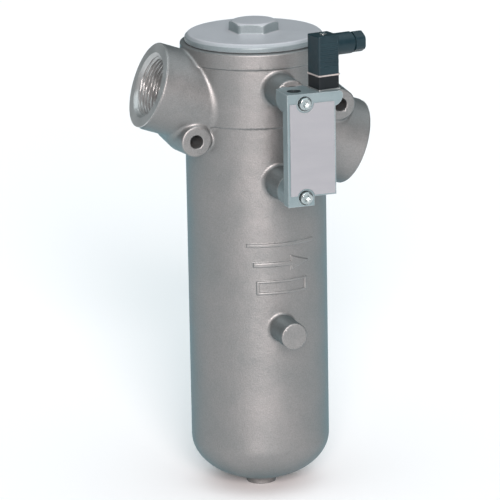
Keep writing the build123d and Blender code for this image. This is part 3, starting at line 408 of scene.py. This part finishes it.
def union_round(a, b, radius):
    """Both solids, with a round fillet in the corner between them."""
    reach = np.hypot(np.maximum(radius - a, 0), np.maximum(radius - b, 0))
    return np.maximum(radius, np.minimum(a, b)) - reach


def common_round(a, b, radius):
    """What both solids hold, with the edge between them rounded."""
    reach = np.hypot(np.maximum(radius + a, 0), np.maximum(radius + b, 0))
    return np.minimum(-radius, np.maximum(a, b)) + reach


def cut(a, b, radius):
    """The first solid without the second, with the new edge rounded."""
    return common_round(a, -b, radius)


def slope(field, points, step):
    """The direction in which a distance field grows, at each point."""
    out = np.empty_like(points)
    for axis in range(3):
        ahead, behind = points.copy(), points.copy()
        ahead[:, axis] += step
        behind[:, axis] -= step
        out[:, axis] = field(*ahead.T) - field(*behind.T)
    return out / np.maximum(np.linalg.norm(out, axis=1, keepdims=True), 1e-9)


BAND_VOXELS = 3
POLISH_ROUNDS = 3


def skin_of(name, field, low, high, voxel, adaptivity):
    """The closed surface of a distance field given in millimetres, as a smooth-shaded mesh."""
    band = BAND_VOXELS * voxel
    low = np.array(low, float)
    counts = np.ceil((np.array(high) - low) / voxel).astype(int) + 1
    x, y, z = [(low[i] + voxel * np.arange(counts[i])).astype(np.float32) for i in range(3)]
    values = field(x[:, None, None], y[None, :, None], z[None, None, :])
    grid = openvdb.FloatGrid(band)
    grid.copyFromArray(np.clip(values, -band, band).astype(np.float32))
    points, triangles, quads = grid.convertToPolygons(0.0, adaptivity)
    points = low + voxel * points.astype(float)
    # The voxels place each point roughly, so it is drawn onto the field's own surface
    for _ in range(POLISH_ROUNDS):
        away = field(*points.T)[:, None]
        points -= np.clip(away, -0.4 * voxel, 0.4 * voxel) * slope(field, points, 0.1 * voxel)
    faces = [tuple(t) for t in triangles.tolist()] + [tuple(q) for q in quads.tolist()]
    mesh = bpy.data.meshes.new(name)
    mesh.from_pydata((points * MM).tolist(), [], faces)
    outward = slope(field, points, 0.3 * voxel)
    first = np.array([f[:3] for f in faces])
    sides = np.cross(points[first[:, 1]] - points[first[:, 0]], points[first[:, 2]] - points[first[:, 0]])
    if np.sum(sides * outward[first[:, 0]]) < 0:
        mesh.flip_normals()
    mesh.polygons.foreach_set("use_smooth", [True] * len(faces))
    mesh.validate()
    if len(mesh.vertices) == len(outward):
        mesh.normals_split_custom_set_from_vertices(outward.tolist())
    return mesh


def revolved(name, section, place, segments=144, sharp=32.0):
    """A ring whose closed section, (radius, height) in millimetres, may change with the angle."""
    rows = [np.asarray(section(2 * math.pi * j / segments), float) for j in range(segments)]
    count = len(rows[0])
    points = []
    for j, row in enumerate(rows):
        c, s = math.cos(2 * math.pi * j / segments), math.sin(2 * math.pi * j / segments)
        points += [place @ Vector((r * c * MM, r * s * MM, h * MM)) for r, h in row]
    faces = []
    for j in range(segments):
        after = (j + 1) % segments
        for i in range(count):
            k = (i + 1) % count
            faces.append((j * count + i, j * count + k, after * count + k, after * count + i))
    mesh = bpy.data.meshes.new(name)
    mesh.from_pydata(points, [], faces)
    area = sum(r0 * h1 - r1 * h0 for (r0, h0), (r1, h1) in zip(rows[0], np.roll(rows[0], -1, axis=0)))
    if area > 0:
        mesh.flip_normals()
    mesh.polygons.foreach_set("use_smooth", [True] * len(faces))
    mesh.set_sharp_from_angle(angle=math.radians(sharp))
    return mesh


ROWS_PER_TURN = 10
THREAD_FADE = 0.6  # turns over which a thread grows at its ends


def thread_rows(outer, inner, start, length, pitch):
    """(radius, height) rows down a screw thread, as a function of the angle, from start to start + length."""
    heights = start + np.linspace(0, length, int(round(length / pitch * ROWS_PER_TURN)))

    def rows(angle):
        phase = (heights / pitch + angle / (2 * math.pi)) % 1.0
        flank = np.clip(np.abs(phase - 0.5) * 2.6 - 0.15, 0, 1)
        ends = np.clip(np.minimum(heights - start, start + length - heights) / (THREAD_FADE * pitch), 0, 1)
        return [(outer + (inner - outer) * f * e, h) for f, e, h in zip(flank, ends, heights)]

    return rows


# ---------------------------------------------------------------- the casting

BOWL_R, WALL, DOME_HEIGHT, DOME_Z = 47.9, 5.0, 31.5, 36.0
HEAD_R, HEAD_Z, COLLAR_R, COLLAR_Z, TOP_Z = 49.0, 263.6, 50.4, 304.2, 314.7
CHAMBER_R, PARTITION_R, PARTITION_LOW, PARTITION_HIGH = 42.9, 33.0, 258.0, 263.5
LID_BORE_R, LID_BORE_Z = 44.0, 298.0
PORT_Z, PORT_R, PORT_THREAD_R, PORT_THREAD_LENGTH, PORT_MOUTH_R = 262.5, 29.8, 20.955, 18.0, 22.6
SLANT = math.radians(20.0)
PORT_START, PASSAGE_R = 8.0, 15.2
# Each port: its side, how far its face reaches, and the height and two ends of the passage behind it
PORTS = ((-1, 81.2, 282.5, -66.0, -38.0), (1, 73.9, 241.6, 38.0, 58.0))
HOLE_MIDDLE_Z, HOLE_HALF = 260.0, 8.0
LUGS = ((-52.0, 254.5), (52.0, 270.5))
LUG_R, LUG_DRAFT, LUG_HALF, LUG_HOLE_R = 12.4, 1.9, 28.0, 4.5
INDICATOR_Z = (290.4, 226.6)
BOSS_FACE_Y, BOSS_BACK_Y = -71.5, -30.0
BOSS_R, BOSS_FLARE, BOSS_FLARE_LENGTH = 10.8, 0.4, 30.0
TAP_R, TAP_DEPTH = 2.55, 13.0
PRESSURE_HOLE_R, PRESSURE_HOLE_Y = 1.3, -38.0
BLANK_Z, BLANK_R = 123.8, 9.2
DRAIN_BOSS_R, DRAIN_BOSS_TOP, DRAIN_R, DRAIN_DEPTH = 10.3, 14.0, 6.58, 12.0
# Room left in the casting for the machined faces and the threads, which are pieces of their own
FACE_STEP = 0.15
BORE_PLAY = 0.35
MOUTH_PLAY, MOUTH_DEPTH = 1.4, 2.2
LID_THREAD_MIDDLE_Z, LID_THREAD_HALF = 311.2, 2.7


def bowl_shape(r, z, radius, height):
    """A cylinder about Z on half an ellipsoid whose widest circle is at DOME_Z."""
    down = np.minimum(z - DOME_Z, 0)
    k0 = np.hypot(r / radius, down / height)
    k1 = np.hypot(r / radius**2, down / height**2) + 1e-9
    return np.where(z < DOME_Z, k0 * (k0 - 1) / k1, r - radius)


def port_place(side, x, y, z):
    """How far out along a port's axis a point is, and how far from that axis."""
    along = side * (x * math.cos(SLANT) - (z - PORT_Z) * math.sin(SLANT))
    across = x * math.sin(SLANT) + (z - PORT_Z) * math.cos(SLANT)
    return along, np.sqrt(across * across + y * y)


def casting(x, y, z):
    """The vessel with its ports, lugs and bosses, and every hole in it."""
    r = np.sqrt(x * x + y * y)
    bowl = common_round(bowl_shape(r, z, BOWL_R, DOME_HEIGHT), z - TOP_Z, 0.8)
    head = common_round(r - HEAD_R, np.maximum(HEAD_Z - z, z - TOP_Z), 0.6)
    collar = common_round(common_round(r - COLLAR_R, COLLAR_Z - z, 0.7), z - TOP_Z, 0.8)
    body = union_round(union_round(bowl, head, 0.5), collar, 0.9)
    ports = []
    for side, reach, _, _, _ in PORTS:
        along, q = port_place(side, x, y, z)
        ports.append(np.maximum(common_round(q - PORT_R, along - reach + FACE_STEP, 0.7), PORT_START - along))
    lugs = []
    for lug_x, lug_z in LUGS:
        q = np.sqrt((x - lug_x) ** 2 + (z - lug_z) ** 2)
        lugs.append(common_round(q - LUG_R + LUG_DRAFT * np.abs(y) / LUG_HALF, np.abs(y) - LUG_HALF, 0.9))
    for port in ports:
        body = union_round(body, port, 2.2)
    for lug in lugs:
        body = union_round(body, lug, 3.0)
    for boss_z in INDICATOR_Z:
        q = np.sqrt(x * x + (z - boss_z) ** 2)
        wide = BOSS_R + BOSS_FLARE * (y - BOSS_FACE_Y) / BOSS_FLARE_LENGTH
        boss = np.maximum(common_round(q - wide, BOSS_FACE_Y - y, 0.8), y - BOSS_BACK_Y)
        body = union_round(body, boss, 2.5)
    q = np.sqrt(x * x + (z - BLANK_Z) ** 2)
    blank = np.maximum(common_round(q - BLANK_R, BOSS_FACE_Y - y, 0.7), y - BOSS_BACK_Y)
    body = union_round(body, blank, 2.0)
    drain = common_round(common_round(r - DRAIN_BOSS_R, -z, 0.6), z - DRAIN_BOSS_TOP, 0.5)
    body = union_round(body, drain, 3.0)
    # Chambers, partition hole and the bore that takes the lid
    lower = common_round(bowl_shape(r, z, CHAMBER_R, DOME_HEIGHT - WALL), z - PARTITION_LOW, 1.5)
    upper = common_round(r - CHAMBER_R, PARTITION_HIGH - z, 1.0)
    hole = common_round(r - PARTITION_R, np.abs(z - HOLE_MIDDLE_Z) - HOLE_HALF, 0.1)
    bore = np.minimum(r - LID_BORE_R, r - LID_BORE_R - np.minimum(z - TOP_Z + 0.6, 0.6))
    bore = np.maximum(bore, LID_BORE_Z - z)
    liner = np.maximum(r - LID_BORE_R - BORE_PLAY, np.abs(z - LID_THREAD_MIDDLE_Z) - LID_THREAD_HALF)
    body = cut(body, np.minimum(np.minimum(lower, upper), np.minimum(bore, liner)), 0.15)
    body = cut(body, hole, 0.3)
    # Ports: the screwed bore, room for the machined face, and the passage behind
    for side, reach, passage_z, x_low, x_high in PORTS:
        along, q = port_place(side, x, y, z)
        screwed = np.maximum(q - PORT_THREAD_R - BORE_PLAY, reach - PORT_THREAD_LENGTH - along)
        mouth = np.maximum(q - PORT_MOUTH_R - MOUTH_PLAY, reach - MOUTH_DEPTH - along)
        passage = np.sqrt(y * y + (z - passage_z) ** 2) - PASSAGE_R
        passage = np.maximum(passage, np.abs(x - (x_low + x_high) / 2) - (x_high - x_low) / 2)
        body = cut(body, np.minimum(screwed, mouth), 0.1)
        body = cut(body, passage, 0.8)
    # Lug holes, the taps and pressure holes of the indicator, and the drain
    for lug_x, lug_z in LUGS:
        body = cut(body, np.sqrt((x - lug_x) ** 2 + (z - lug_z) ** 2) - LUG_HOLE_R, 0.35)
    for boss_z in INDICATOR_Z:
        q = np.sqrt(x * x + (z - boss_z) ** 2)
        body = cut(body, np.maximum(q - TAP_R, y - BOSS_FACE_Y - TAP_DEPTH), 0.2)
        body = cut(body, np.maximum(q - PRESSURE_HOLE_R, y - PRESSURE_HOLE_Y), 0.1)
    return cut(body, np.maximum(r - DRAIN_R - BORE_PLAY, z - DRAIN_DEPTH), 0.1)


casting_mesh = skin_of("vessel_casting", casting, (-83, -74, -2), (77, 54, 318), 0.8, 0.003)
put("vessel_casting", casting_mesh, "cast_aluminium", "vessel", ("housing",))

# ---------------------------------------------------------------- raised marks on the bowl

MARK_X, MARK_HEIGHT = 1.0, 0.9
BAR_Z, BAR_WIDTH, BAR_HEIGHT = 182.6, 48.0, 2.2
FRAME_Z, FRAME_WIDTH, FRAME_HEIGHT, FRAME_HALF_LINE = 152.9, 35.0, 8.0, 0.75
ARROW_Z = 169.0
ARROW = ((-20, -1.5), (6, -1.5), (6, -5), (20, 0), (6, 5), (6, 1.5), (-20, 1.5))


def plate(x, z, centre_z, width, height):
    """Distance to an upright rectangle, below 0 inside it."""
    dx = np.abs(x) - width / 2
    dz = np.abs(z - centre_z) - height / 2
    return np.hypot(np.maximum(dx, 0), np.maximum(dz, 0)) + np.minimum(np.maximum(dx, dz), 0)


def outline(x, z, corners):
    """Distance to a closed outline, below 0 inside it."""
    near = np.full(np.broadcast(x, z).shape, 1e9)
    inside = np.zeros(near.shape, bool)
    for (ax, az), (bx, bz) in zip(corners, corners[1:] + corners[:1]):
        ex, ez = bx - ax, bz - az
        share = np.clip(((x - ax) * ex + (z - az) * ez) / (ex * ex + ez * ez), 0, 1)
        near = np.minimum(near, np.hypot(x - ax - share * ex, z - az - share * ez))
        crossing = (z >= min(az, bz)) & (z < max(az, bz))
        if ez:
            inside ^= crossing & (x < ax + (z - az) / ez * ex)
    return np.where(inside, -near, near)


def marks(x, y, z):
    """The raised marks and the fillets at their feet; the bowl's own face stays just below the casting's."""
    r = np.sqrt(x * x + y * y)
    across = x - MARK_X
    flat = plate(across, z, BAR_Z, BAR_WIDTH, BAR_HEIGHT)
    flat = np.minimum(flat, outline(across, z - ARROW_Z, ARROW))
    rim = np.abs(plate(across, z, FRAME_Z, FRAME_WIDTH, FRAME_HEIGHT)) - FRAME_HALF_LINE
    flat = np.minimum(flat, rim)
    raised = common_round(flat, r - BOWL_R - MARK_HEIGHT, 0.4)
    skin = union_round(raised, r - BOWL_R + 0.05, 0.6)
    near = np.maximum(flat - 0.9, BOWL_R - 0.8 - r)
    return np.maximum(np.maximum(skin, near), y)


marks_mesh = skin_of("raised_marks", marks, (-26, -50, 145), (28, -38, 186), 0.35, 0.002)
put("raised_marks", marks_mesh, "cast_aluminium", "vessel")

# ---------------------------------------------------------------- machined faces and threads

PIPE_PITCH, PIPE_THREAD_DEPTH = 25.4 / 11, 1.42
DRAIN_PITCH, DRAIN_CORE_R = 1.337, 5.72
TEST_PITCH, TEST_THREAD_R, TEST_CORE_R = 0.907, 4.83, 4.25
TEST_PORT = Vector((-3.5, -86.0, 297.0))
LID_PITCH = 2.0
port_thread = thread_rows(
    PORT_THREAD_R, PORT_THREAD_R - PIPE_THREAD_DEPTH, 1.65, PORT_THREAD_LENGTH - 1.75, PIPE_PITCH
)
drain_rows = thread_rows(DRAIN_R, DRAIN_CORE_R, 0.9, 10.8, DRAIN_PITCH)
test_rows = thread_rows(TEST_THREAD_R, TEST_CORE_R, 0.5, 2.9, TEST_PITCH)


def port_insert(angle):
    """The machined face, the chamfered mouth and the thread of a port; height runs inwards."""
    back = [(21.6, 17.9), (21.6, 2.4), (24.3, 2.4), (24.3, 0.7), (29.3, 0.7), (29.3, 0.12), (29.18, 0.0)]
    return [(22.72, 0.0), (22.6, 0.1)] + port_thread(angle) + back


for (side, reach, _, _, _), label in zip(PORTS, ("inlet", "outlet")):
    outward = Vector((side * math.cos(SLANT), 0, -side * math.sin(SLANT)))
    turn = (-outward).to_track_quat("Z", "Y").to_matrix().to_4x4()
    place = Matrix.Translation(Vector((0, 0, PORT_Z * MM)) + reach * MM * outward) @ turn
    mesh = revolved(f"{label}_port_thread", port_insert, place, 180)
    put(f"{label}_port_thread", mesh, "machined", "vessel")


def drain_insert(angle):
    """The drain's machined rim and thread, open from below."""
    back = [(6.9, 11.9), (6.9, 1.4), (7.7, 1.0), (7.7, 0.0)]
    return [(7.3, 0.0)] + drain_rows(angle) + back


mesh = revolved("drain_thread", drain_insert, Matrix.Identity(4), 96)
put("drain_thread", mesh, "machined", "vessel")


def test_port_insert(angle):
    """The thread of the test port in the block's top face; height runs down from the face."""
    return [(TEST_THREAD_R, 0.03)] + test_rows(angle) + [(4.85, 3.45), (4.85, 0.03)]


# The test port's thread is painted near-black, standing in for the shade deep in the hole.
place = Matrix.Translation(TEST_PORT * MM) @ Matrix.Rotation(math.pi, 4, "X")
mesh = revolved("test_port_thread", test_port_insert, place, 96)
put("test_port_thread", mesh, "painted_shade_metal", "vessel")


def lid_bore_insert(angle):
    """The female thread below the vessel's rim."""
    rows = thread_rows(LID_BORE_R + 0.3, LID_BORE_R, 308.6, 5.2, LID_PITCH)
    return rows(angle) + [(LID_BORE_R + 0.6, 313.8), (LID_BORE_R + 0.6, 308.6)]


mesh = revolved("lid_bore_thread", lid_bore_insert, Matrix.Identity(4), 240)
put("lid_bore_thread", mesh, "machined", "vessel")

# ---------------------------------------------------------------- the lid

LID_R, LID_GAP, LID_SEAT_R, LID_RIM_Z, LID_ROOT_Z, LID_TOP = 47.1, 0.7, 45.8, 318.6, 321.5, 328.6
SPIGOT_R, SPIGOT_Z = 43.7, 299.5
LID_INSIDE_Z = 319.0
LID_BEVEL, BEVEL_SCALE = 1.6, 1.414
CROWN_DROP, CROWN_R, CROWN_RUN = 0.6, 15.6, 31.5
HEX_HALF, HEX_TURN, HEX_CORNER_R, HEX_START_Z = 15.0, math.radians(-26.0 - 90.0), 17.0, 318.0
HEX_SLOPE, HEX_SLOPE_R, HEX_SLOPE_SCALE = 0.55, 14.4, 1.141
RECESS_R, RECESS_DEPTH = 37.0, 3.0
GROOVE_R, GROOVE_MIDDLE_Z, GROOVE_HALF = 41.0, 306.1, 1.6


def lid_shape(x, y, z):
    """The crowned disc with its hexagon, over a spigot with a seal groove and a recess."""
    r = np.sqrt(x * x + y * y)
    domed = (z - LID_ROOT_Z) + CROWN_DROP * (r - CROWN_R) / CROWN_RUN
    rim = np.maximum(r - LID_R, TOP_Z + LID_GAP - z)
    disc = common_round(rim, (z - LID_RIM_Z - LID_BEVEL + (r - LID_R + LID_BEVEL)) / BEVEL_SCALE, 0.4)
    disc = common_round(disc, domed * 0.99, 0.7)
    seat = common_round(r - LID_SEAT_R, TOP_Z - z, 0.2)
    spigot = common_round(common_round(r - SPIGOT_R, SPIGOT_Z - z, 0.5), z - LID_INSIDE_Z, 0.5)
    body = np.minimum(disc, np.maximum(seat, z - LID_INSIDE_Z))
    body = np.minimum(body, spigot)
    hexagon = np.full(np.broadcast(x, y).shape, -1e9)
    for k in range(6):
        a = HEX_TURN + math.radians(60 * k)
        hexagon = np.maximum(hexagon, x * math.cos(a) + y * math.sin(a) - HEX_HALF)
    head = common_round(common_round(hexagon, r - HEX_CORNER_R, 0.5), z - LID_TOP, 0.5)
    head = common_round(head, (z - LID_TOP + HEX_SLOPE * (r - HEX_SLOPE_R)) / HEX_SLOPE_SCALE, 0.4)
    body = union_round(body, np.maximum(head, HEX_START_Z - z), 1.1)
    recess = common_round(r - RECESS_R, z - SPIGOT_Z - RECESS_DEPTH, 0.4)
    body = cut(body, np.maximum(recess, SPIGOT_Z - 2.0 - z), 0.3)
    groove = np.maximum(GROOVE_R - r, np.abs(z - GROOVE_MIDDLE_Z) - GROOVE_HALF)
    return cut(body, groove, 0.2)


lid_mesh = skin_of("lid_casting", lid_shape, (-49, -49, 297), (49, 49, 329.5), 0.6, 0.003)
put("lid_casting", lid_mesh, "lid_metal", "lid", ("lid",))


def lid_spigot_insert(angle):
    """The male thread round the lid's spigot."""
    rows = thread_rows(SPIGOT_R + 0.02, SPIGOT_R + 0.26, 308.5, 5.6, LID_PITCH)
    return rows(angle) + [(SPIGOT_R - 0.8, 314.1), (SPIGOT_R - 0.8, 308.5)]


mesh = revolved("lid_spigot_thread", lid_spigot_insert, Matrix.Identity(4), 240)
put("lid_spigot_thread", mesh, "lid_metal", "lid")

# ---------------------------------------------------------------- the foam sleeve of the element

SOCK_R, SOCK_WALL = 31.4, 1.9
SEAM_ANGLE, SEAM_WIDTH, SEAM_DEPTH = 4.1, 1.3, 0.35
sock_low, sock_high = [corner.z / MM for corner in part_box("element_sock")]


def sock_section(angle):
    """A soft sleeve: slightly uneven, nipped at its ends, with a welded seam down one side."""
    heights = np.linspace(sock_low, sock_high, 110)
    wave = 0.16 * np.sin(3 * angle + heights / 9.0) + 0.12 * np.sin(7 * angle - heights / 5.3 + 1.1)
    wave += 0.08 * np.sin(17 * angle + heights / 2.9)
    ends = np.minimum(heights - sock_low, sock_high - heights)
    nip = 0.7 * np.exp(-ends / 3.0)
    weld = math.exp(-(((angle - SEAM_ANGLE) * SOCK_R / SEAM_WIDTH) ** 2))
    seam = -SEAM_DEPTH * weld * (1 + 0.5 * np.cos(heights * 2.4))
    outer = SOCK_R - 0.3 - nip + wave * np.clip(ends / 4.0, 0, 1) + seam
    inner = SOCK_R - SOCK_WALL + 0.1
    return [(r, h) for r, h in zip(outer, heights)] + [(inner, sock_high), (inner, sock_low)]


mesh = revolved("foam_sleeve", sock_section, Matrix.Identity(4), 200, 60.0)
put("foam_sleeve", mesh, "foam_sock", "element", ("element_sock",))
